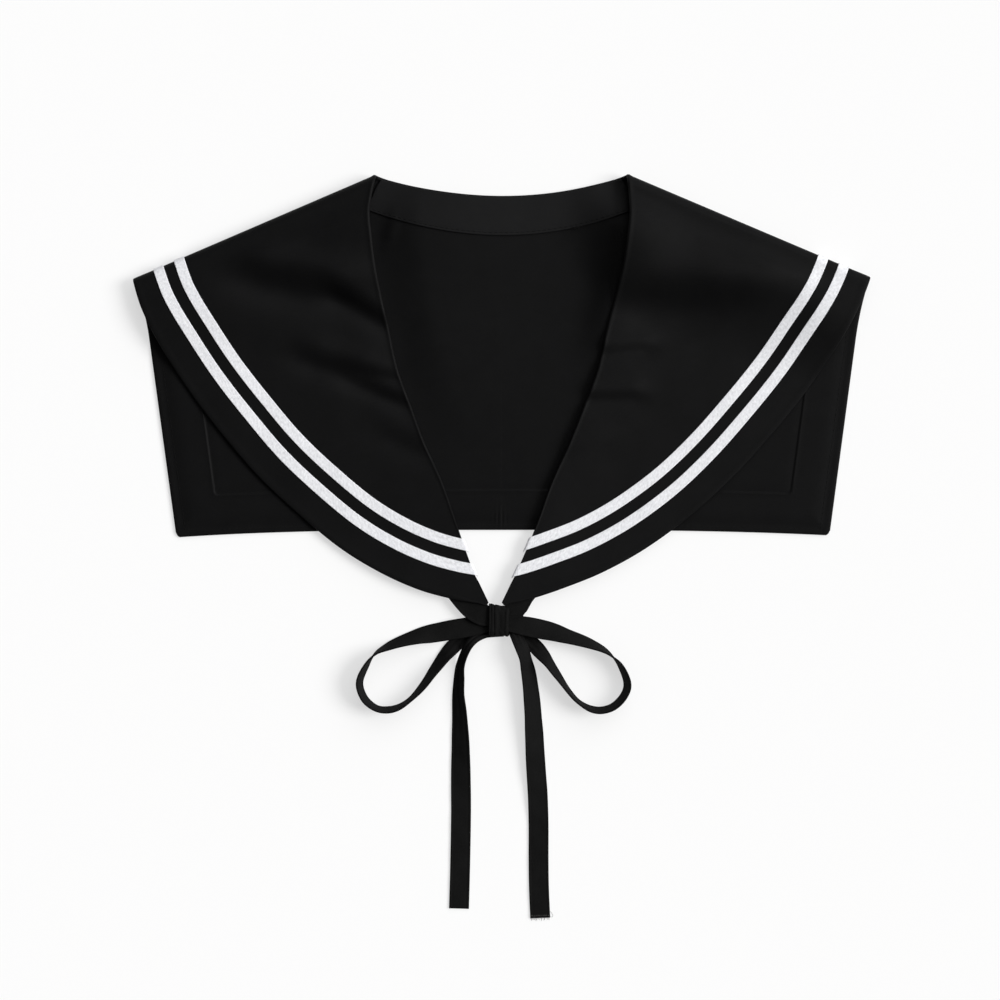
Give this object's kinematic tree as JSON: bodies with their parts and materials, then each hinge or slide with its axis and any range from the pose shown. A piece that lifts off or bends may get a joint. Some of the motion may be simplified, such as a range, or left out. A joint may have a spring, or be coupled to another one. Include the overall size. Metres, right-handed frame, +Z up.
{
  "type": "sailor collar",
  "caption": "Black sailor collar lying flat, its lapels folded forward over its back flap, with white tapes along the edge and a black ribbon tied in a bow under the lapel points.",
  "frame": {"origin": "on the surface the collar lies on, below the middle of its bounding box", "axes": "+Z up off the surface, +Y from the bow towards the neck, +X to the right as seen from above"},
  "size_m": [0.4416, 0.4454, 0.0148],
  "materials": {
    "black_cloth": "matt black twill of fine weave",
    "white_tape": "matt white woven tape",
    "tie_ribbon": "matt black plain-woven ribbon"
  },
  "bodies": {
    "root": {"collar": "black_cloth", "neck_facing": "black_cloth", "outer_tape": "white_tape", "inner_tape": "white_tape", "tie_lead_left": "tie_ribbon", "tie_lead_right": "tie_ribbon", "bow_loop_left": "tie_ribbon", "bow_loop_right": "tie_ribbon", "tie_tail_left": "tie_ribbon", "tie_tail_right": "tie_ribbon", "bow_knot": "tie_ribbon"}
  },
  "joints": []
}
